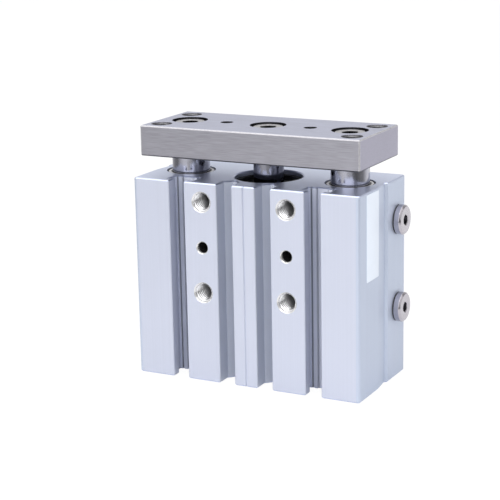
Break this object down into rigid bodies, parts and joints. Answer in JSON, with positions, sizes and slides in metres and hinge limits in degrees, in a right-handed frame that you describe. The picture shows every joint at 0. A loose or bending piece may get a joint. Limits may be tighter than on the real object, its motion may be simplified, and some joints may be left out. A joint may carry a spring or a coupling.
{
  "type": "guided pneumatic cylinder",
  "caption": "Compact guided air cylinder: an extruded barrel with T-slots, whose tooling plate slides out on a piston rod between two guide rods.",
  "frame": {"origin": "centre of the barrel's rear face, on the axis of the bore", "axes": "+Z is the way the rods extend, -Y is out of the face with the tapped holes and T-slots, +X is the side with the plugged air ports"},
  "size_m": [0.0662, 0.03, 0.0664],
  "materials": {
    "anodised_barrel": "clear anodised extrusion, matt",
    "black_cover": "black anodised",
    "nitrile_seal": "moulded",
    "phosphated_ring": "black phosphated spring steel",
    "urethane_bumper": "moulded",
    "sintered_bush": "sintered, oil impregnated",
    "nickel_plug": "nickel plated",
    "dark_gasket": "moulded",
    "nickel_plate": "milled and nickel plated",
    "socket_bolt": "plated",
    "hard_chrome": "ground and hard chromed",
    "turned_aluminium": "turned",
    "bonded_magnet": "bonded magnet"
  },
  "bodies": {
    "barrel": {"cylinder_body": "anodised_barrel", "rod_cover": "black_cover", "rod_seal": "nitrile_seal", "rod_cover_gasket": "nitrile_seal", "rod_cover_ring": "phosphated_ring", "front_bumper": "urethane_bumper", "rear_bumper": "urethane_bumper", "head_cover": "black_cover", "head_cover_gasket": "nitrile_seal", "head_cover_ring": "phosphated_ring", "guide_bush_front_left": "sintered_bush", "guide_bush_front_right": "sintered_bush", "guide_bush_rear_left": "sintered_bush", "guide_bush_rear_right": "sintered_bush", "port_plug_upper": "nickel_plug", "port_plug_lower": "nickel_plug", "port_gasket_upper": "dark_gasket", "port_gasket_lower": "dark_gasket"},
    "carriage": {"tooling_plate": "nickel_plate", "plate_bolts": "socket_bolt", "piston_rod": "hard_chrome", "guide_rod_left": "hard_chrome", "guide_rod_right": "hard_chrome", "piston": "turned_aluminium", "piston_seal": "nitrile_seal", "piston_magnet": "bonded_magnet", "magnet_holder": "turned_aluminium", "piston_screw": "socket_bolt"}
  },
  "joints": [
    {"name": "plate_slide", "type": "slide", "parent": "barrel", "child": "carriage", "axis": [0, 0, 1], "range_m": [0, 0.02]}
  ]
}
